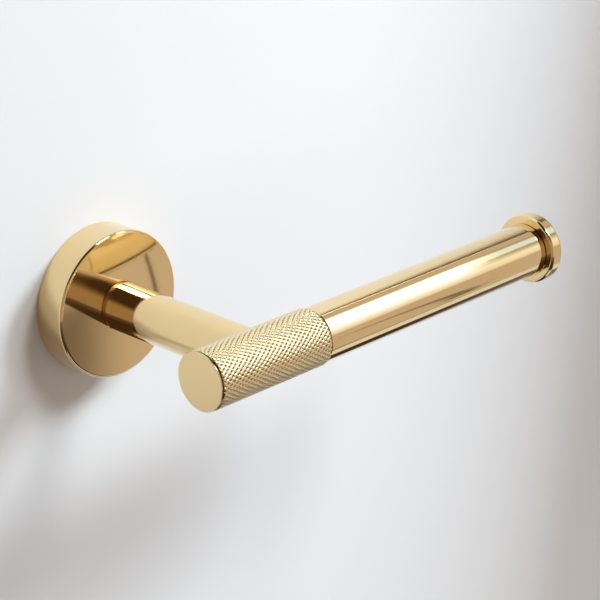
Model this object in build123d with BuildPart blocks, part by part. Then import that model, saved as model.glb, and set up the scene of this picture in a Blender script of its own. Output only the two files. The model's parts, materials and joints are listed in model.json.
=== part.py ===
from build123d import *
from math import atan, degrees
import os

os.makedirs("parts", exist_ok=True)

# Open-ended toilet paper holder for a wall: a round rosette, one arm and one bar with a knurled grip.
# Everything is in millimetres. The origin is the centre of the rosette on the wall, the wall fills
# the side of positive Y, the bar points along +X and +Z is up.

# Clearances
thread_gap = 0.05          # radial gap between a screw and its threaded hole, threads drawn plain
insert_gap = 0.05          # radial gap of an insert, spigot or pin in its bore
slip_gap = 0.3             # radial gap between the rosette's rim and the hub it slides over
tip_gap = 0.05             # what the set screw's tip keeps off the hub

# Rosette, a cup that hides the hub, with a slightly domed face round the arm's flat seat
rosette_diameter = 51.0
rosette_depth = 13.1       # from the wall to the arm's seat
rosette_dome = 220.0       # radius of the domed face
rosette_rim = 3.5
rosette_face = 3.5         # thickness at the arm's seat
rosette_edge = 1.1         # radius of the front edge
seat_diameter = 17.2       # flat under the arm

# Hub, the bracket on the wall
hub_front_gap = 1.6        # from the hub to the inside of the rosette's face
hub_floor = 1.5            # metal between the hub's pocket and the wall
hub_pocket_diameter = 14.0
hub_edge = 0.5

# Wall screws
screw_diameter = 4.0       # over the thread, which starts at the wall
screw_neck_diameter = 2.9  # plain shank from the head to the wall
screw_length = 30.0        # under the head, point included
screw_point = 4.0
screw_tip_diameter = 0.6
screw_head_diameter = 7.0
screw_head_height = 2.6
screw_head_edge = 0.9
screw_head_sink = 0.6      # how far the head lies below the hub's front
screw_play = 0.3           # radial room around the shank
screw_head_play = 0.5      # radial room around the head
screw_travel = 1.6         # how far each screw may shift in its slot
screw_cross_width = 0.9
screw_cross_length = 3.8
screw_cross_depth = 1.5

# Arm and the two inserts in its ends
arm_diameter = 16.7
arm_wall = 1.5
arm_edge = 0.25
neck_gap = 1.0             # width of the fine groove between the rosette and the arm
neck_depth = 0.5           # depth of that groove
root_insert_length = 14.0
tip_insert_length = 15.0

# Bolt, lock washer and index pin that hold the arm to the rosette
bolt_diameter = 6.0
bolt_length = 16.0
bolt_head_diameter = 10.5
bolt_head_height = 3.3
bolt_head_edge = 2.0
bolt_key = 4.0             # across the flats of the hexagon socket
bolt_key_depth = 2.0
bolt_hole_end = 1.6        # threaded depth left past the bolt's end
washer_diameter = 11.8
washer_thickness = 1.6
washer_split = 1.0
pin_diameter = 2.0
pin_length = 6.2
pin_sink = 0.3

# Bar axis, barrel and the stud that ties it to the arm
projection = 76.8          # from the wall to the bar's axis
barrel_diameter = 19.8
barrel_length = 48.0
barrel_end = 23.6          # from the arm's axis to the end at the bar
barrel_edge = 0.35
barrel_bore_diameter = 12.0
stud_diameter = 8.0
stud_in_arm = 9.5
stud_in_barrel = 7.0
stud_hole_end = 0.8        # hole depth left past each end of the stud

# Cap on the barrel's free end
cap_diameter = 19.5
cap_thickness = 0.5
cap_edge = 0.2
cap_groove_width = 0.5
cap_groove_depth = 0.7
cap_spigot_length = 8.0

# Bar and the threaded joiner between barrel and bar
bar_diameter = 19.0
bar_wall = 1.25
bar_edge = 0.2
bar_reach = 134.0          # from the arm's axis to the flange's inner face
joiner_gap = 0.35          # width of the fine line between barrel and bar
joiner_depth = 0.5         # depth of that line below the bar
joiner_in_barrel = 10.0
joiner_in_bar = 16.0
bore_end = 1.0             # bore depth left past a spigot's end

# Flange at the end of the bar
flange_diameter = 24.8
flange_thickness = 5.4
flange_edge = 1.0
flange_gap = 0.3           # width of the fine line between bar and flange
flange_gap_depth = 0.5
flange_spigot_length = 12.0

# Set screw in the underside of the rosette
set_screw_diameter = 4.0
set_screw_from_wall = 5.0
set_screw_sink = 0.2
set_screw_point = 0.6
set_screw_key = 2.0        # across the flats of the hexagon socket
set_screw_key_depth = 1.5

# Radii and places that follow from the sizes above
rosette_radius = rosette_diameter / 2
rosette_inside = rosette_radius - rosette_rim
rosette_hollow = rosette_depth - rosette_face
dome_centre = (rosette_dome**2 - (seat_diameter / 2) ** 2) ** 0.5 - rosette_depth
hub_radius = rosette_inside - slip_gap
hub_depth = rosette_hollow - hub_front_gap
pocket_radius = hub_pocket_diameter / 2
screw_radius = screw_diameter / 2
screw_spacing = hub_radius + pocket_radius       # each screw is midway across the hub's ring
screw_seat = hub_depth - screw_head_height - screw_head_sink
arm_radius = arm_diameter / 2
arm_bore = arm_radius - arm_wall
arm_start = rosette_depth + neck_gap
insert_radius = arm_bore - insert_gap
bolt_radius = bolt_diameter / 2
bolt_seat = rosette_hollow - washer_thickness
bolt_hole_stop = bolt_seat + bolt_length + bolt_hole_end
pin_radius = pin_diameter / 2
pin_place = (bolt_radius + insert_radius) / 2    # midway between the bolt and the insert's edge
pin_start = rosette_hollow + pin_sink
barrel_radius = barrel_diameter / 2
barrel_start = barrel_end - barrel_length
barrel_back = projection - barrel_radius         # the barrel's nearest line to the wall
barrel_bore = barrel_bore_diameter / 2
stud_radius = stud_diameter / 2
cap_neck = cap_diameter / 2 - cap_groove_depth
bar_radius = bar_diameter / 2
bar_bore = bar_radius - bar_wall
bar_start = barrel_end + joiner_gap
bar_stop = bar_reach - flange_gap
set_screw_radius = set_screw_diameter / 2
set_screw_tip = hub_radius + tip_gap
set_screw_foot = rosette_radius - set_screw_sink

# Planes that look out of the wall, along the bar, and down through the rosette's rim
wall = Plane.XZ
bar_axis = Plane(origin=(0, -projection, 0), x_dir=(0, 1, 0), z_dir=(1, 0, 0))
rim_down = Plane(origin=(0, -set_screw_from_wall, 0), x_dir=(1, 0, 0), z_dir=(0, 0, -1))


def save(piece, name):
    """Label a finished piece and write it to its own file."""
    piece.part.label = name
    export_step(piece.part, f"parts/{name}.step")


# Hub: a round bracket screwed flat on the wall, with a pocket for the arm bolt's head
with BuildPart() as wall_hub:
    with BuildSketch(wall):
        Circle(hub_radius)
    extrude(amount=hub_depth)
    chamfer(wall_hub.edges().group_by(Axis.Y)[0], length=hub_edge)
    with BuildSketch(wall.offset(hub_floor)):
        Circle(pocket_radius)
    extrude(amount=hub_depth - hub_floor, mode=Mode.SUBTRACT)
    with BuildSketch(wall):
        with GridLocations(screw_spacing, 0, 2, 1):
            SlotCenterToCenter(screw_travel, 2 * (screw_radius + screw_play))
    extrude(amount=hub_depth, mode=Mode.SUBTRACT)
    with BuildSketch(wall.offset(screw_seat)):
        with GridLocations(screw_spacing, 0, 2, 1):
            SlotCenterToCenter(screw_travel, screw_head_diameter + 2 * screw_head_play)
    extrude(amount=hub_depth - screw_seat, mode=Mode.SUBTRACT)
save(wall_hub, "wall_hub")

# Wall screws: pan heads in the hub's slots, shanks out of the hub's back into the wall
with BuildPart() as wall_screws:
    with BuildSketch(wall.offset(screw_seat)):
        with GridLocations(screw_spacing, 0, 2, 1):
            Circle(screw_head_diameter / 2)
    extrude(amount=screw_head_height)
    fillet(wall_screws.edges().group_by(Axis.Y)[0], radius=screw_head_edge)
    with BuildSketch(wall.offset(screw_seat)):
        with GridLocations(screw_spacing, 0, 2, 1):
            Circle(screw_neck_diameter / 2)
    extrude(amount=-screw_seat)
    with BuildSketch(wall):
        with GridLocations(screw_spacing, 0, 2, 1):
            Circle(screw_radius)
    extrude(amount=screw_seat + screw_point - screw_length)
    with BuildSketch(wall.offset(screw_seat + screw_point - screw_length)):
        with GridLocations(screw_spacing, 0, 2, 1):
            Circle(screw_radius)
    extrude(
        amount=-screw_point,
        taper=degrees(atan((screw_radius - screw_tip_diameter / 2) / screw_point)),
    )
    with BuildSketch(wall.offset(screw_seat + screw_head_height)):
        with GridLocations(screw_spacing, 0, 2, 1):
            Rectangle(screw_cross_length, screw_cross_width)
            Rectangle(screw_cross_width, screw_cross_length)
    extrude(amount=-screw_cross_depth, mode=Mode.SUBTRACT)
save(wall_screws, "wall_screws")

# Rosette: a turned cup with its open side on the wall and a domed face
with BuildPart() as rosette:
    with BuildSketch(wall):
        Circle(rosette_radius)
    extrude(amount=rosette_depth)
    with Locations((0, dome_centre, 0)):
        Sphere(rosette_dome, mode=Mode.INTERSECT)
    fillet(
        rosette.edges().filter_by(GeomType.CIRCLE).group_by(SortBy.RADIUS)[-1].sort_by(Axis.Y)[0],
        radius=rosette_edge,
    )
    with BuildSketch(wall):
        Circle(rosette_inside)
    extrude(amount=rosette_hollow, mode=Mode.SUBTRACT)
    with BuildSketch(wall.offset(rosette_hollow)):
        Circle(bolt_radius + thread_gap)
        with Locations((0, pin_place)):
            Circle(pin_radius + insert_gap)
    extrude(amount=rosette_face, mode=Mode.SUBTRACT)
    with BuildSketch(rim_down):
        Circle(set_screw_radius + thread_gap)
    extrude(amount=rosette_radius, mode=Mode.SUBTRACT)
save(rosette, "rosette")

# Set screw: a short grub screw that locks the rosette on the hub from below
with BuildPart() as set_screw:
    with BuildSketch(rim_down.offset(set_screw_tip)):
        Circle(set_screw_radius)
    extrude(amount=set_screw_foot - set_screw_tip)
    chamfer(set_screw.edges().group_by(Axis.Z)[-1], length=set_screw_point)
    with BuildSketch(rim_down.offset(set_screw_foot)):
        RegularPolygon(set_screw_key / 2, side_count=6, major_radius=False)
    extrude(amount=-set_screw_key_depth, mode=Mode.SUBTRACT)
save(set_screw, "set_screw")

# Arm bolt: a button head inside the rosette, its shank in the arm's root insert
with BuildPart() as arm_bolt:
    with BuildSketch(wall.offset(bolt_seat)):
        Circle(bolt_head_diameter / 2)
    extrude(amount=-bolt_head_height)
    fillet(arm_bolt.edges().group_by(Axis.Y)[-1], radius=bolt_head_edge)
    with BuildSketch(wall.offset(bolt_seat)):
        Circle(bolt_radius)
    extrude(amount=bolt_length)
    with BuildSketch(wall.offset(bolt_seat - bolt_head_height)):
        RegularPolygon(bolt_key / 2, side_count=6, major_radius=False)
    extrude(amount=bolt_key_depth, mode=Mode.SUBTRACT)
save(arm_bolt, "arm_bolt")

# Lock washer: split ring between the bolt's head and the rosette's face
with BuildPart() as lock_washer:
    with BuildSketch(wall.offset(bolt_seat)):
        Circle(washer_diameter / 2)
        Circle(bolt_radius + thread_gap, mode=Mode.SUBTRACT)
        with Locations((-washer_diameter / 2, 0)):
            Rectangle(washer_diameter, washer_split, mode=Mode.SUBTRACT)
    extrude(amount=washer_thickness)
save(lock_washer, "lock_washer")

# Index pin: keeps the arm from turning in the rosette
with BuildPart() as index_pin:
    with BuildSketch(wall.offset(pin_start)):
        with Locations((0, pin_place)):
            Circle(pin_radius)
    extrude(amount=pin_length)
save(index_pin, "index_pin")

# Root insert: plug in the arm's wall end, whose shoulder leaves a fine groove round the arm
with BuildPart() as arm_root_insert:
    with BuildSketch(wall.offset(rosette_depth)):
        Circle(arm_radius - neck_depth)
    extrude(amount=neck_gap)
    with BuildSketch(wall.offset(arm_start)):
        Circle(insert_radius)
    extrude(amount=root_insert_length)
    with BuildSketch(wall.offset(rosette_depth)):
        Circle(bolt_radius + thread_gap)
    extrude(amount=bolt_hole_stop - rosette_depth, mode=Mode.SUBTRACT)
    with BuildSketch(wall.offset(rosette_depth)):
        with Locations((0, pin_place)):
            Circle(pin_radius + insert_gap)
    extrude(amount=pin_start + pin_length + pin_sink - rosette_depth, mode=Mode.SUBTRACT)
save(arm_root_insert, "arm_root_insert")

# Arm: a round tube whose far end is hollowed to sit on the barrel
with BuildPart() as arm_tube:
    with BuildSketch(wall.offset(arm_start)):
        Circle(arm_radius)
        Circle(arm_bore, mode=Mode.SUBTRACT)
    extrude(amount=projection - arm_start)
    chamfer(
        arm_tube.edges().filter_by(GeomType.CIRCLE).group_by(Axis.Y)[-1].sort_by(SortBy.RADIUS)[-1],
        length=arm_edge,
    )
    with BuildSketch(bar_axis.offset(-arm_diameter)):
        Circle(barrel_radius)
    extrude(amount=2 * arm_diameter, mode=Mode.SUBTRACT)
save(arm_tube, "arm_tube")

# Tip insert: plug in the arm's outer end, cut to the same hollow, with the stud's thread
with BuildPart() as arm_tip_insert:
    with BuildSketch(wall.offset(barrel_back)):
        Circle(insert_radius)
    extrude(amount=barrel_radius)
    extrude(arm_tip_insert.faces().sort_by(Axis.Y)[-1], amount=tip_insert_length)
    with BuildSketch(bar_axis.offset(-arm_diameter)):
        Circle(barrel_radius)
    extrude(amount=2 * arm_diameter, mode=Mode.SUBTRACT)
    with BuildSketch(wall.offset(barrel_back)):
        Circle(stud_radius + thread_gap)
    extrude(amount=-stud_in_arm - stud_hole_end, mode=Mode.SUBTRACT)
    with BuildSketch(wall.offset(barrel_back)):
        Circle(stud_radius + thread_gap)
    extrude(amount=barrel_radius, mode=Mode.SUBTRACT)
save(arm_tip_insert, "arm_tip_insert")

# Stud: ties the arm's tip insert to the barrel
with BuildPart() as joint_stud:
    with BuildSketch(wall.offset(barrel_back - stud_in_arm)):
        Circle(stud_radius)
    extrude(amount=stud_in_arm + stud_in_barrel)
save(joint_stud, "joint_stud")

# Barrel: the knurled grip, solid across the stud and bored from both ends
with BuildPart() as knurled_barrel:
    with BuildSketch(bar_axis.offset(barrel_start)):
        Circle(barrel_radius)
    extrude(amount=barrel_length)
    chamfer(knurled_barrel.edges().filter_by(GeomType.CIRCLE), length=barrel_edge)
    with BuildSketch(bar_axis.offset(barrel_start)):
        Circle(barrel_bore)
    extrude(amount=cap_spigot_length + bore_end, mode=Mode.SUBTRACT)
    with BuildSketch(bar_axis.offset(barrel_end)):
        Circle(barrel_bore)
    extrude(amount=-joiner_in_barrel - bore_end, mode=Mode.SUBTRACT)
    with BuildSketch(wall.offset(barrel_back)):
        Circle(stud_radius + thread_gap)
    extrude(amount=stud_in_barrel + stud_hole_end, mode=Mode.SUBTRACT)
save(knurled_barrel, "knurled_barrel")

# End cap: a thin polished disc on a neck, with a spigot in the barrel's bore
with BuildPart() as end_cap:
    with BuildSketch(bar_axis.offset(barrel_start - cap_groove_width)):
        Circle(cap_diameter / 2)
    extrude(amount=-cap_thickness)
    fillet(end_cap.edges().group_by(Axis.X)[0], radius=cap_edge)
    with BuildSketch(bar_axis.offset(barrel_start - cap_groove_width)):
        Circle(cap_neck)
    extrude(amount=cap_groove_width)
    with BuildSketch(bar_axis.offset(barrel_start)):
        Circle(barrel_bore - insert_gap)
    extrude(amount=cap_spigot_length)
save(end_cap, "end_cap")

# Joiner: threaded into the barrel, plugged into the bar, with a thin collar between them
with BuildPart() as bar_joiner:
    with BuildSketch(bar_axis.offset(barrel_end)):
        Circle(bar_radius - joiner_depth)
    extrude(amount=joiner_gap)
    with BuildSketch(bar_axis.offset(barrel_end)):
        Circle(barrel_bore - insert_gap)
    extrude(amount=-joiner_in_barrel)
    with BuildSketch(bar_axis.offset(bar_start)):
        Circle(bar_bore - insert_gap)
    extrude(amount=joiner_in_bar)
save(bar_joiner, "bar_joiner")

# Bar: the smooth tube that carries the roll
with BuildPart() as bar_tube:
    with BuildSketch(bar_axis.offset(bar_start)):
        Circle(bar_radius)
        Circle(bar_bore, mode=Mode.SUBTRACT)
    extrude(amount=bar_stop - bar_start)
    chamfer(
        bar_tube.edges().filter_by(GeomType.CIRCLE).group_by(SortBy.RADIUS)[-1],
        length=bar_edge,
    )
save(bar_tube, "bar_tube")

# Flange: the round stop at the end of the bar, with a short neck and a spigot in the bar
with BuildPart() as end_flange:
    with BuildSketch(bar_axis.offset(bar_reach)):
        Circle(flange_diameter / 2)
    extrude(amount=flange_thickness)
    fillet(end_flange.edges().filter_by(GeomType.CIRCLE), radius=flange_edge)
    with BuildSketch(bar_axis.offset(bar_stop)):
        Circle(bar_radius - flange_gap_depth)
    extrude(amount=flange_gap)
    with BuildSketch(bar_axis.offset(bar_stop)):
        Circle(bar_bore - insert_gap)
    extrude(amount=-flange_spigot_length)
save(end_flange, "end_flange")
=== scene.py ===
import bmesh
import bpy
import json
import math
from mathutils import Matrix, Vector


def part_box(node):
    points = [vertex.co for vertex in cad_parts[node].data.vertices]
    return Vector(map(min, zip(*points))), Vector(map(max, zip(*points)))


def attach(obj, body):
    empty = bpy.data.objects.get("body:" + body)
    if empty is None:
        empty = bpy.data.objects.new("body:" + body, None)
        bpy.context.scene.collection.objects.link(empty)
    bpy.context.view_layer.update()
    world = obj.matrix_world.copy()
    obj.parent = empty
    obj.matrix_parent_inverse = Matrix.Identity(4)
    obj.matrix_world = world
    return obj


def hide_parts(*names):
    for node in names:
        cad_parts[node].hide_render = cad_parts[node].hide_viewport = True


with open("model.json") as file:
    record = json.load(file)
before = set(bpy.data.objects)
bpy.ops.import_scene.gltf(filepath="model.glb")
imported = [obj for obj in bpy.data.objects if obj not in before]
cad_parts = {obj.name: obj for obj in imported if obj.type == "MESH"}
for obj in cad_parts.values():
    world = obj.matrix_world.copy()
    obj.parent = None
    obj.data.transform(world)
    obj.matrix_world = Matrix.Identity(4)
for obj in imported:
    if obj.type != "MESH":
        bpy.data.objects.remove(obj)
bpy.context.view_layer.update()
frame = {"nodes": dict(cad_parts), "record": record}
scene = bpy.context.scene
mm = 0.001

cameraView = {
    "aim": (0.04694, -0.04993, -0.00141),  # m, the point in the middle of the view
    "distance": 0.7436,                    # m
    "azimuth": -46.285,                    # degrees round the holder, 0 looks straight at the wall
    "elevation": 21.926,
    "lens": 133.04,                        # mm
    "sensor": 36.0,
    "nearest": 0.01,                       # m, what is nearer or farther isn't drawn
    "farthest": 20.0,
}


def makeCamera(view):
    turn, lift = math.radians(view["azimuth"]), math.radians(view["elevation"])
    level = math.cos(lift)
    back = Vector((math.sin(turn) * level, -math.cos(turn) * level, math.sin(lift)))
    data = bpy.data.cameras.new("camera")
    data.lens, data.sensor_width = view["lens"], view["sensor"]
    data.clip_start, data.clip_end = view["nearest"], view["farthest"]
    camera = bpy.data.objects.new("camera", data)
    camera.location = Vector(view["aim"]) + back * view["distance"]
    camera.rotation_mode = "QUATERNION"
    camera.rotation_quaternion = (-back).to_track_quat("-Z", "Y")
    scene.collection.objects.link(camera)
    scene.camera = camera


makeCamera(cameraView)
print("camera placed")


def linearColour(code):
    # sRGB hex to linear red, green, blue and alpha
    parts = [int(code[i:i + 2], 16) / 255 for i in (1, 3, 5)]
    return tuple(p / 12.92 if p <= 0.04045 else ((p + 0.055) / 1.055) ** 2.4 for p in parts) + (1.0,)


def addNode(tree, kind, settings=None, links=None):
    node = tree.nodes.new("ShaderNode" + kind)
    for key, value in (settings or {}).items():
        if isinstance(key, str) and hasattr(node, key):
            setattr(node, key, value)
        else:
            node.inputs[key].default_value = value
    for key, source in (links or {}).items():
        tree.links.new(source, node.inputs[key])
    return node


def newMaterial(name):
    material = bpy.data.materials.new(name)
    material.use_nodes = True
    tree = material.node_tree
    tree.nodes.clear()
    return material, tree


def finishMaterial(tree, shader):
    output = addNode(tree, "OutputMaterial")
    tree.links.new(shader.outputs[0], output.inputs["Surface"])


def barrelPlaces():
    # middle of the barrel and the radius of its crests, from the CAD
    low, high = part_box("knurled_barrel")
    return (low + high) / 2, (high.z - low.z) / 2


brassLook = {
    "light": "#F2D7A0",
    "deep": "#EED095",
    "paintedGrooveShade": "#2E1E0E",  # painted shade, laid into the grooves behind the cap and at the bar's end
    "toneSize": 14.0,      # mm, slow drift of the alloy's tone
    "hazeSize": 1.6,       # mm, faint buffing haze
    "smoothest": 0.05,
    "haziest": 0.085,
    "lacquer": 0.9,
    "lacquerRoughness": 0.03,
}


def polishedBrassMaterial(name, look, shadedGrooves=()):
    # Cartridge brass, buffed to a mirror and clear lacquered: long clean reflections in warm yellow
    material, tree = newMaterial(name)
    place = addNode(tree, "TexCoord").outputs["Object"]
    tone = addNode(tree, "TexNoise", {"Scale": 1 / (look["toneSize"] * mm), "Detail": 2.0}, {"Vector": place})
    colour = addNode(tree, "Mix", {"data_type": "RGBA", 6: linearColour(look["deep"]),
                                   7: linearColour(look["light"])},
                     {0: tone.outputs["Fac"]})
    # painted shade: inside each x-range given, the base colour turns dark brown for the shade of a groove
    for fromX, toX in shadedGrooves:
        split = addNode(tree, "SeparateXYZ", {}, {0: place})
        middle, half = (fromX + toX) / 2, (toX - fromX) / 2
        inside = addNode(tree, "Math", {"operation": "COMPARE", 1: middle, 2: half}, {0: split.outputs["X"]})
        colour = addNode(tree, "Mix", {"data_type": "RGBA", 7: linearColour(look["paintedGrooveShade"])},
                         {0: inside.outputs[0], 6: colour.outputs[2]})
    haze = addNode(tree, "TexNoise", {"Scale": 1 / (look["hazeSize"] * mm), "Detail": 4.0}, {"Vector": place})
    roughness = addNode(tree, "MapRange", {"To Min": look["smoothest"], "To Max": look["haziest"]},
                        {"Value": haze.outputs["Fac"]})
    shader = addNode(tree, "BsdfPrincipled",
                     {"Metallic": 1.0, "Coat Weight": look["lacquer"],
                      "Coat Roughness": look["lacquerRoughness"]},
                     {"Base Color": colour.outputs[2], "Roughness": roughness.outputs["Result"]})
    finishMaterial(tree, shader)
    return material


knurlLook = {
    # the pit and floor colours are painted shade, darker with depth; crest is the brass's own colour
    "crest": "#F8E5B6",
    "pitShade": "#A67F45",
    "floor": "#3E2C16",    # painted shade: the very bottom of a pit, the bores and the barrel's end faces
    "floorShare": 0.30,    # how much of the depth counts as the bottom
    "roughness": 0.23,
    "lacquer": 0.5,
    "scuffSize": 3.0,      # mm, where hands wear the crests a little brighter
    "scuff": 0.15,         # how much brighter or duller
}

barrel = {
    "starts": 39,          # ridges in each family round the barrel
    "axialPitch": 2.4814,  # mm along the barrel from one crossing to the next
    "depth": 0.46,         # mm from the ridges down to the pits
    "steps": 4,            # mesh steps from valley to ridge, even so that crossings fall on nodes
    "profile": (0.0, 0.42, 0.78, 0.95, 1.0),  # height from valley to ridge, step by step
    "sharpAngle": 27.0,    # degrees, edges that bend more than this stay crisp
    "chamfer": 0.35,       # mm
    "bore": 6.0,           # mm radius of the two bores
    "boreEnd": 1.0,        # mm of bore left past each spigot
}


def knurledBrassMaterial(look):
    # Form-rolled diamond knurl, lightly tumbled and lacquered: broad bright ridges over dark pits, whose
    # colour is darkened with depth as painted shade
    material, tree = newMaterial("rolledKnurlBrass")
    place = addNode(tree, "TexCoord").outputs["Object"]
    middle, crestRadius = barrelPlaces()
    deepest = crestRadius - barrel["depth"] * mm
    acrossOnly = (0.0, 1.0, 1.0)
    offset = addNode(tree, "VectorMath", {"operation": "SUBTRACT", 1: tuple(middle)}, {0: place})
    across = addNode(tree, "VectorMath", {"operation": "MULTIPLY", 1: acrossOnly}, {0: offset.outputs[0]})
    radius = addNode(tree, "VectorMath", {"operation": "LENGTH"}, {0: across.outputs[0]})
    height = addNode(tree, "MapRange", {"From Min": deepest, "From Max": crestRadius},
                     {"Value": radius.outputs["Value"]})
    wear = addNode(tree, "TexNoise", {"Scale": 1 / (look["scuffSize"] * mm), "Detail": 3.0},
                   {"Vector": place})
    worn = addNode(tree, "MapRange", {"To Min": 1 - look["scuff"], "To Max": 1 + look["scuff"]},
                   {"Value": wear.outputs["Fac"]})
    bright = addNode(tree, "Math", {"operation": "MULTIPLY", "use_clamp": True},
                     {0: height.outputs["Result"], 1: worn.outputs["Result"]})
    # painted shade: the base colour darkens from crest to pit with depth, and to the floor colour in the pit
    # bottoms, bores and end faces
    colour = addNode(tree, "Mix", {"data_type": "RGBA", 6: linearColour(look["pitShade"]),
                                   7: linearColour(look["crest"])},
                     {0: bright.outputs[0]})
    bottom = addNode(tree, "MapRange", {"From Max": look["floorShare"]}, {"Value": height.outputs["Result"]})
    full = addNode(tree, "Mix", {"data_type": "RGBA", 6: linearColour(look["floor"])},
                   {0: bottom.outputs["Result"], 7: colour.outputs[2]})
    shader = addNode(tree, "BsdfPrincipled",
                     {"Metallic": 1.0, "Roughness": look["roughness"], "Coat Weight": look["lacquer"]},
                     {"Base Color": full.outputs[2]})
    finishMaterial(tree, shader)
    return material


rawLook = {
    "light": "#DDBE82",
    "deep": "#A9834A",
    "feed": 0.35,          # mm between tool marks, drawn coarser than the real 0.1 so that they show
    "markDepth": 0.02,     # mm
    "markStrength": 0.6,
    "markWander": 0.6,     # how far the marks stray from true rings
    "stainSize": 3.0,      # mm
    "roughness": 0.3,
}


def turnedBrassMaterial(name, look, axis):
    # Free-cutting brass, turned and left bare: fine tool marks round it, duller and browner
    material, tree = newMaterial(name)
    place = addNode(tree, "TexCoord").outputs["Object"]
    marks = addNode(tree, "TexWave", {"wave_type": "BANDS", "bands_direction": axis, "wave_profile": "SAW",
                                      "Scale": math.pi / (10 * look["feed"] * mm),
                                      "Distortion": look["markWander"]}, {"Vector": place})
    stain = addNode(tree, "TexNoise", {"Scale": 1 / (look["stainSize"] * mm), "Detail": 3.0},
                    {"Vector": place})
    colour = addNode(tree, "Mix", {"data_type": "RGBA", 6: linearColour(look["deep"]),
                                   7: linearColour(look["light"])},
                     {0: stain.outputs["Fac"]})
    bump = addNode(tree, "Bump", {"Distance": look["markDepth"] * mm, "Strength": look["markStrength"]},
                   {"Height": marks.outputs["Fac"]})
    shader = addNode(tree, "BsdfPrincipled", {"Metallic": 1.0, "Roughness": look["roughness"]},
                     {"Base Color": colour.outputs[2], "Normal": bump.outputs[0]})
    finishMaterial(tree, shader)
    return material


zincLook = {
    "light": "#DADCDD",
    "deep": "#B9BEC4",
    "cloudSize": 4.0,      # mm, patches left by the passivating bath
    "grainSize": 0.5,      # mm, cast grain, drawn coarser than the real 0.1 so that it shows
    "grainDepth": 0.02,    # mm
    "grainStrength": 0.5,
    "roughness": (0.28, 0.42),
}

steelLook = {
    "light": "#D2D3D4",
    "deep": "#A3A6AB",
    "cloudSize": 1.5,
    "grainSize": 0.3,      # mm, fine drawn grain, also coarser than the real one
    "grainDepth": 0.006,
    "grainStrength": 0.5,
    "roughness": (0.18, 0.30),
}


def platedMetalMaterial(name, look):
    # Zinc electroplate: satin blue-grey, cloudy from the bath, over the grain of the metal below
    material, tree = newMaterial(name)
    place = addNode(tree, "TexCoord").outputs["Object"]
    cloud = addNode(tree, "TexNoise", {"Scale": 1 / (look["cloudSize"] * mm), "Detail": 4.0},
                    {"Vector": place})
    grain = addNode(tree, "TexNoise", {"Scale": 1 / (look["grainSize"] * mm), "Detail": 2.0},
                    {"Vector": place})
    colour = addNode(tree, "Mix", {"data_type": "RGBA", 6: linearColour(look["deep"]),
                                   7: linearColour(look["light"])},
                     {0: cloud.outputs["Fac"]})
    roughness = addNode(tree, "MapRange", {"To Min": look["roughness"][0], "To Max": look["roughness"][1]},
                        {"Value": cloud.outputs["Fac"]})
    bump = addNode(tree, "Bump", {"Distance": look["grainDepth"] * mm, "Strength": look["grainStrength"]},
                   {"Height": grain.outputs["Fac"]})
    shader = addNode(tree, "BsdfPrincipled", {"Metallic": 1.0},
                     {"Base Color": colour.outputs[2], "Roughness": roughness.outputs["Result"],
                      "Normal": bump.outputs[0]})
    finishMaterial(tree, shader)
    return material


# painted shade in the grooves behind the cap and at the bar's end: how far it reaches
paintedGrooveShade = {
    "behindCap": 0.72,     # mm of the cap's neck painted dark as shade
    "atBarEnd": 0.30,      # mm of the flange's neck painted dark as shade
    "overlap": 0.01,       # mm past each joint, so that no bright line is left
}
barrelLow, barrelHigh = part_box("knurled_barrel")
barLow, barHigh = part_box("bar_tube")
capGroove = (barrelLow.x - paintedGrooveShade["behindCap"] * mm, barrelLow.x + paintedGrooveShade["overlap"] * mm)
flangeGroove = (barHigh.x - paintedGrooveShade["overlap"] * mm, barHigh.x + paintedGrooveShade["atBarEnd"] * mm)
polishedBrass = polishedBrassMaterial("mirrorPolishedBrass", brassLook)
grooveShadedBrass = polishedBrassMaterial("mirrorBrassGrooveShade", brassLook, (capGroove, flangeGroove))
knurledBrass = knurledBrassMaterial(knurlLook)
zincPlate = platedMetalMaterial("zincPlatedCasting", zincLook)
fastenerSteel = platedMetalMaterial("zincPlatedSteel", steelLook)
slotMaterials = {
    "polished_brass": polishedBrass,
    "knurled_brass": knurledBrass,
    "raw_brass": turnedBrassMaterial("turnedBrassArm", rawLook, "Y"),
    "zinc_plate": zincPlate,
    "steel": fastenerSteel,
}
ownMaterials = {
    "end_cap": grooveShadedBrass,
    "end_flange": grooveShadedBrass,
    "bar_joiner": turnedBrassMaterial("turnedBrassBar", rawLook, "X"),
}
for row in frame["record"]["subparts"]:
    for materialSlot in frame["nodes"][row["node"]].material_slots:
        materialSlot.material = ownMaterials.get(row["node"], slotMaterials[row["material_slot"]])
print("materials assigned")


def meshObject(name, corners, faces, material, sharpAngle=None):
    mesh = bpy.data.meshes.new(name)
    mesh.from_pydata(corners, [], faces)
    mesh.materials.append(material)
    mesh.polygons.foreach_set("use_smooth", [sharpAngle is not None] * len(mesh.polygons))
    mesh.update()
    if sharpAngle is not None:
        mesh.set_sharp_from_angle(angle=math.radians(sharpAngle))
    piece = bpy.data.objects.new(name, mesh)
    scene.collection.objects.link(piece)
    return piece


def ringBand(first, second, count, flip=False):
    # four-sided faces between two rings of corners that start at these indices
    band = []
    for i in range(count):
        k = (i + 1) % count
        face = (first + i, first + k, second + k, second + i)
        band.append(face[::-1] if flip else face)
    return band


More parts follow.
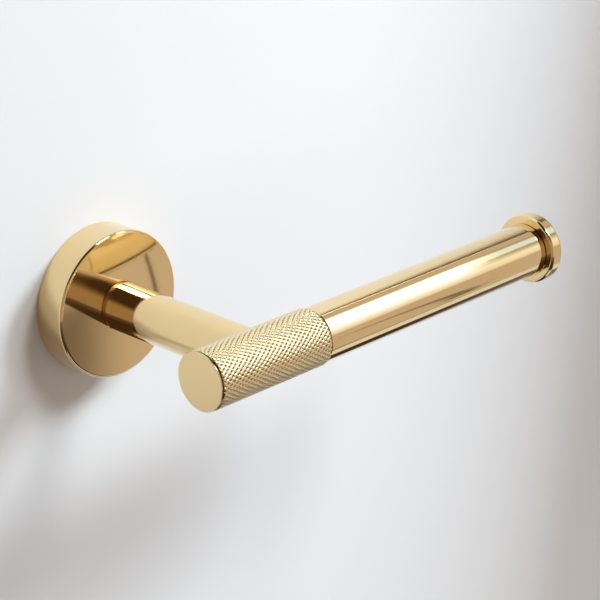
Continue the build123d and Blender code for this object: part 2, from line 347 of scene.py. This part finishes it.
def makeKnurledBarrel(size):
    low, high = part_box("knurled_barrel")
    middle, crestRadius = barrelPlaces()
    steps, starts = size["steps"], size["starts"]
    around = 2 * steps * starts
    stepLength = size["axialPitch"] * mm / (2 * steps)
    along = int((high.x - low.x) / 2 / stepLength)
    indices = list(range(-along - 1, along + 2))
    stations = [low.x] + [middle.x + j * stepLength for j in indices[1:-1]] + [high.x]
    corners, faces = [], []

    def ring(x, radiusAt):
        for i in range(around):
            angle = 2 * math.pi * i / around
            radius = radiusAt(i)
            corners.append((x, middle.y + radius * math.cos(angle), middle.z + radius * math.sin(angle)))
        return len(corners) - around

    def rise(count):
        return abs(count % (2 * steps) - steps)   # steps on a ridge, 0 in a valley

    def knurlRadius(x, j):
        shoulder = crestRadius - size["chamfer"] * mm + min(x - low.x, high.x - x)
        return lambda i: min(shoulder, crestRadius - size["depth"] * mm
                             * (1 - size["profile"][max(rise(i + j), rise(i - j))]))

    rows = [ring(x, knurlRadius(x, j)) for x, j in zip(stations, indices)]
    for row, j, nextRow in zip(rows, indices, rows[1:]):
        for i in range(around):
            k = (i + 1) % around
            a, b, c, d = row + i, row + k, nextRow + k, nextRow + i
            faces += [(a, b, c), (a, c, d)] if (i - j) % steps == 0 else [(a, b, d), (b, c, d)]
    for outer, x, deep in ((rows[0], low.x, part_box("end_cap")[1].x + size["boreEnd"] * mm),
                           (rows[-1], high.x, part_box("bar_joiner")[0].x - size["boreEnd"] * mm)):
        atLeft = x == low.x
        mouth = ring(x, lambda i: size["bore"] * mm)
        floor = ring(deep, lambda i: size["bore"] * mm)
        faces += ringBand(outer, mouth, around, atLeft) + ringBand(mouth, floor, around, atLeft)
        disc = tuple(range(floor, floor + around))
        faces.append(disc[::-1] if atLeft else disc)
    piece = meshObject("knurledBarrel", corners, faces, knurledBrass, size["sharpAngle"])
    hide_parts("knurled_barrel")
    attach(piece, "holder")


makeKnurledBarrel(barrel)
print("knurled barrel cut")

wallScrew = {
    "pitch": 1.8,          # mm from thread to thread
    "core": 1.45,          # radii in mm
    "crest": 2.0,
    "flank": 0.42,         # mm along the screw from a crest down to the core
    "headRadius": 3.5,
    "point": 4.0,          # mm over which the end tapers
    "tip": 0.3,            # radius the taper ends at
    "tipThread": 0.3,      # share of the thread's height left at the tip
    "thinnest": 0.1,       # mm, no radius is less than this
    "around": 40,          # mesh steps round the shank
    "step": 0.15,          # mm, mesh step along the shank
    "lead": 0.9,           # mm over which the thread grows at its start
    "cut": 0.02,           # mm before the wall, where the plain neck ends
    "sharpAngle": 32.0,
}


def makeWallScrews(size):
    # heads and plain necks as the CAD has them, real threads from the wall inwards
    low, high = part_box("wall_screws")
    shape = bmesh.new()
    shape.from_mesh(frame["nodes"]["wall_screws"].data)
    bmesh.ops.remove_doubles(shape, verts=shape.verts, dist=0.001 * mm)
    everything = shape.verts[:] + shape.edges[:] + shape.faces[:]
    bmesh.ops.bisect_plane(shape, geom=everything, plane_co=(0, -size["cut"] * mm, 0), plane_no=(0, 1, 0),
                           clear_outer=True)
    bmesh.ops.holes_fill(shape, edges=[e for e in shape.edges if e.is_boundary])
    corners = [tuple(v.co) for v in shape.verts]
    faces = [tuple(v.index for v in f.verts) for f in shape.faces]
    shape.free()

    around, rows = size["around"], int(high.y / (size["step"] * mm))
    for centre in (low.x + size["headRadius"] * mm, high.x - size["headRadius"] * mm):
        first = len(corners)
        for row in range(rows + 1):
            y = row * high.y / rows
            fromTip = (high.y - y) / mm
            for i in range(around):
                angle = 2 * math.pi * i / around
                turn = (y / (size["pitch"] * mm) + i / around) % 1.0
                ridge = max(0.0, 1 - abs(turn - 0.5) * size["pitch"] / size["flank"])
                ridge *= min(1.0, y / (size["lead"] * mm))
                taper = fromTip / size["point"]
                envelope = size["tip"] + (size["crest"] - size["tip"]) * min(1.0, taper)
                valley = (size["crest"] - size["core"]) * (1 - ridge) * min(1.0, taper + size["tipThread"])
                radius = max(envelope - valley, size["thinnest"]) * mm
                corners.append((centre + radius * math.cos(angle), y, radius * math.sin(angle)))
        for row in range(rows):
            faces += ringBand(first + row * around, first + (row + 1) * around, around, True)
        faces.append(tuple(range(first, first + around)))
        faces.append(tuple(range(first + rows * around, first + (rows + 1) * around))[::-1])
    piece = meshObject("wallScrews", corners, faces, fastenerSteel, size["sharpAngle"])
    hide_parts("wall_screws")
    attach(piece, "wall_bracket")


makeWallScrews(wallScrew)
print("wall screws threaded")

wallSheet = {
    "gap": 0.1,            # mm between the wall and the rosette
    "left": -1.2,          # m
    "right": 1.0,
    "top": 1.2,
    "bottom": -0.26,
    "hole": 20.6,          # mm radius, hidden by the hub
    "colour": "#EBEBEA",
    "roughness": 0.6,
    "sides": 96,           # mesh steps round the hole
}


def wallPaintMaterial(look):
    # Emulsion on plaster: a dead flat white; from behind it lets the eye through
    material, tree = newMaterial("wallPaint")
    paint = addNode(tree, "BsdfPrincipled",
                    {"Base Color": linearColour(look["colour"]), "Roughness": look["roughness"]})
    clear = addNode(tree, "BsdfTransparent")
    side = addNode(tree, "NewGeometry")
    mixed = addNode(tree, "MixShader", {},
                    {0: side.outputs["Backfacing"], 1: paint.outputs[0], 2: clear.outputs[0]})
    finishMaterial(tree, mixed)
    return material


def makeWall(size):
    y, hole, sides = size["gap"] * mm, size["hole"] * mm, size["sides"]
    corners, edge = [], []
    for i in range(sides):
        angle = 2 * math.pi * i / sides
        c, s = math.cos(angle), math.sin(angle)
        reachX = size["right"] if c > 0 else size["left"]
        reachZ = size["top"] if s > 0 else size["bottom"]
        # the smaller stretch meets the wall's edge; a corner straight up or sideways has only one
        stretch = min(reach / part for reach, part in ((reachX, c), (reachZ, s)) if abs(part) > 1e-6)
        corners.append((hole * c, y, hole * s))
        edge.append((stretch * c, y, stretch * s))
    wall = meshObject("wall", corners + edge, ringBand(0, sides, sides, True), wallPaintMaterial(size))


makeWall(wallSheet)

floorSheet = {
    "drop": 1.0,           # m below the holder
    "outline": ((-0.5, -0.65), (2.0, -0.65), (2.0, -0.25), (-0.5, -0.25)),  # m, x and y
    "colour": "#E6E2DC",
    "roughness": 0.7,
    "batten": ((1.45, -0.95), (3.88, -4.09)),  # m, its two ends
    "battenWidth": 0.05,
    "battenColour": "#7A6D5C",
}


def makeFloor(size):
    # a pale strip of floor, and a dark batten beyond it that is seen only mirrored in the brass
    start, stop = (Vector(p) for p in size["batten"])
    aside = (stop - start).orthogonal().normalized() * size["battenWidth"] / 2
    batten = (start - aside, stop - aside, stop + aside, start + aside)
    for name, colour, outline in (("floor", size["colour"], size["outline"]),
                                  ("floorBatten", size["battenColour"], batten)):
        material, tree = newMaterial(name + "Paint")
        finishMaterial(tree, addNode(tree, "BsdfPrincipled", {"Base Color": linearColour(colour),
                                                              "Roughness": size["roughness"]}))
        sheet = meshObject(name, [(x, y, -size["drop"]) for x, y in outline], [(0, 1, 2, 3)], material)
        sheet.visible_camera = name == "floor"


makeFloor(floorSheet)

# two soft boxes from the right; the low one throws the rosette's shadow to the left
lightTarget = (0.06, 0.0, 0.0)
# way from the target to the box, distance and side in m, power in watts; mirrored: seen in the brass
softBoxes = {
    "lowBox": {"way": (0.692, -0.493, 0.595), "distance": 1.89, "side": 0.56, "power": 40.0,
               "colour": "#E1F1FF", "mirrored": False},
    "highBox": {"way": (0.330, -0.638, 0.780), "distance": 1.90, "side": 0.55, "power": 17.5,
                "colour": "#F6F9FC", "mirrored": True},
}


def makeSoftBox(name, size):
    data = bpy.data.lights.new(name, "AREA")
    data.shape, data.size = "SQUARE", size["side"]
    data.energy, data.color = size["power"], linearColour(size["colour"])[:3]
    light = bpy.data.objects.new(name, data)
    way = Vector(size["way"]).normalized()
    light.location = Vector(lightTarget) + way * size["distance"]
    light.rotation_mode = "QUATERNION"
    light.rotation_quaternion = (-way).to_track_quat("-Z", "Y")
    light.visible_glossy = size["mirrored"]
    scene.collection.objects.link(light)


for name, size in softBoxes.items():
    makeSoftBox(name, size)

# flag: a card that keeps the low box off the wall's right side; neither the camera nor the brass sees it
flag = {
    "y": -0.14,            # all in m
    "left": (0.372, 0.470),  # lower and upper end of its left edge
    "right": 1.05,
    "low": -0.15,
    "high": 0.85,
    "colour": "#8C857C",
    "roughness": 0.9,
}


def makeFlag(size):
    material, tree = newMaterial("flagCard")
    finishMaterial(tree, addNode(tree, "BsdfPrincipled", {"Base Color": linearColour(size["colour"]),
                                                          "Roughness": size["roughness"]}))
    y, left, right, low, high = (size[k] for k in ("y", "left", "right", "low", "high"))
    corners = [(left[0], y, low), (right, y, low), (right, y, high), (left[1], y, high)]
    card = meshObject("flag", corners, [(0, 1, 2, 3)], material)
    card.visible_glossy = card.visible_camera = False


makeFlag(flag)

# scrim: a curved sheet of light to the right, white near the holder and a dimmer silver beyond
scrim = {
    "radius": 1.6,         # m from the bar's axis
    "angles": (104.0, 176.0),  # degrees about the bar, 90 is up and 180 straight out of the wall
    "left": 1.26,          # m
    "right": 2.4,
    "turnsSilver": (1.74, 1.82),  # m, where the far colours take over
    "steps": 24,
    # light given off from the first angle to the last: share of the way, colour and strength
    "near": ((0.0, "#FFFFFF", 0.5), (0.05, "#F5FAFF", 1.2), (0.12, "#FFFFFF", 3.0), (0.50, "#FFFFFF", 3.0),
             (0.62, "#CBD1FF", 2.5), (0.78, "#D5E5FF", 1.65), (0.90, "#F4F4FF", 1.1), (1.0, "#FFFBF3", 0.8)),
    "far": ((0.0, "#FFFAEE", 0.42), (0.05, "#FFFAEE", 0.42), (0.14, "#C4DDFF", 1.45),
            (0.36, "#C6DEFF", 1.5), (0.43, "#FFF9F3", 0.4), (0.50, "#FFFFFF", 0.5),
            (0.70, "#F5FAFF", 1.2), (0.90, "#FFFFFF", 1.0), (1.0, "#FFFBF3", 0.8)),
    "peak": 3.0,           # the greatest strength above
}


def makeScrim(size):
    low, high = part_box("bar_tube")
    axisY = (low.y + high.y) / 2
    start, stop = (math.radians(a) for a in size["angles"])
    material, tree = newMaterial("scrimGlow")
    place = addNode(tree, "TexCoord").outputs["Object"]
    split = addNode(tree, "SeparateXYZ", {}, {0: place})
    outward = addNode(tree, "Math", {"operation": "SUBTRACT", 1: axisY}, {0: split.outputs["Y"]})
    angle = addNode(tree, "Math", {"operation": "ARCTAN2"}, {0: split.outputs["Z"], 1: outward.outputs[0]})
    share = addNode(tree, "MapRange", {"From Min": start, "From Max": stop}, {"Value": angle.outputs[0]})
    glows = []
    for key in ("near", "far"):
        glow = addNode(tree, "ValToRGB", {}, {"Fac": share.outputs["Result"]})
        ramp = glow.color_ramp
        ramp.elements.remove(ramp.elements[1])
        for where, colour, strength in size[key]:
            mark = ramp.elements.new(where) if where > 0 else ramp.elements[0]
            mark.position = where
            mark.color = [c * strength / size["peak"] for c in linearColour(colour)[:3]] + [1.0]
        glows.append(glow.outputs["Color"])
    turnFrom, turnTo = size["turnsSilver"]
    silver = addNode(tree, "MapRange", {"From Min": turnFrom, "From Max": turnTo,
                                        "interpolation_type": "SMOOTHSTEP"}, {"Value": split.outputs["X"]})
    colour = addNode(tree, "Mix", {"data_type": "RGBA"},
                     {0: silver.outputs["Result"], 6: glows[0], 7: glows[1]})
    glowing = addNode(tree, "Emission", {"Strength": size["peak"]}, {"Color": colour.outputs[2]})
    finishMaterial(tree, glowing)
    corners, faces = [], []
    for i in range(size["steps"] + 1):
        angleHere = start + (stop - start) * i / size["steps"]
        y, z = axisY + size["radius"] * math.cos(angleHere), size["radius"] * math.sin(angleHere)
        corners += [(size["left"], y, z), (size["right"], y, z)]
    for i in range(size["steps"]):
        faces.append((2 * i, 2 * i + 1, 2 * i + 3, 2 * i + 2))
    sheet = meshObject("scrim", corners, faces, material)
    sheet.visible_camera = False


makeScrim(scrim)

# room: edges are heights (Z) or sides (X) of the direction looked in, from -1 to 1, soft between the two
room = {
    "warm": "#CFC1B6",          # the pale room in front and to the right
    "dark": "#453527",          # its unlit corners
    "band": (0.25, 0.60),       # the pale band round the horizon ends here, up and down
    "rightEdge": (0.25, 0.60),  # beyond this side it is pale at every height
    "lowEdge": (-0.72, -0.55),  # below this it is dark
    "leftSide": (-0.5, 0.1),    # the room's left side is dimmer
    "leftLight": 0.60,
    "cornerSide": (0.46, 0.68),  # and so is the low corner left of here
    "cornerTop": (-0.40, -0.30),
    "cornerLight": 0.45,
}


def makeWorld(look):
    world = bpy.data.worlds.new("room")
    scene.world = world
    world.use_nodes = True
    tree = world.node_tree
    tree.nodes.clear()
    split = addNode(tree, "SeparateXYZ", {}, {0: addNode(tree, "TexCoord").outputs["Generated"]})
    side, height = split.outputs["X"], split.outputs["Z"]
    level = addNode(tree, "Math", {"operation": "ABSOLUTE"}, {0: height}).outputs[0]
    masks = {}
    for edge, source, before, beyond in (("band", level, 1.0, 0.0), ("rightEdge", side, 0.0, 1.0),
                                         ("leftSide", side, look["leftLight"], 1.0),
                                         ("lowEdge", height, 0.0, 1.0),
                                         ("cornerSide", side, look["cornerLight"], 1.0),
                                         ("cornerTop", height, 0.0, 1.0)):
        mask = addNode(tree, "MapRange", {"interpolation_type": "SMOOTHSTEP", "From Min": look[edge][0],
                                          "From Max": look[edge][1], "To Min": before, "To Max": beyond},
                       {"Value": source})
        masks[edge] = mask.outputs["Result"]
    greater = {"operation": "MAXIMUM"}
    pale = addNode(tree, "Math", greater, {0: masks["band"], 1: masks["rightEdge"]}).outputs[0]
    corner = addNode(tree, "Math", greater, {0: masks["cornerSide"], 1: masks["cornerTop"]}).outputs[0]
    for mask in (masks["leftSide"], masks["lowEdge"], corner):
        pale = addNode(tree, "Math", {"operation": "MULTIPLY"}, {0: pale, 1: mask}).outputs[0]
    colour = addNode(tree, "Mix", {"data_type": "RGBA", 6: linearColour(look["dark"]),
                                   7: linearColour(look["warm"])}, {0: pale})
    back = addNode(tree, "Background", {}, {"Color": colour.outputs[2]})
    output = addNode(tree, "OutputWorld")
    tree.links.new(back.outputs[0], output.inputs["Surface"])


makeWorld(room)
scene.view_settings.view_transform = "Standard"
print("stage and lights set")
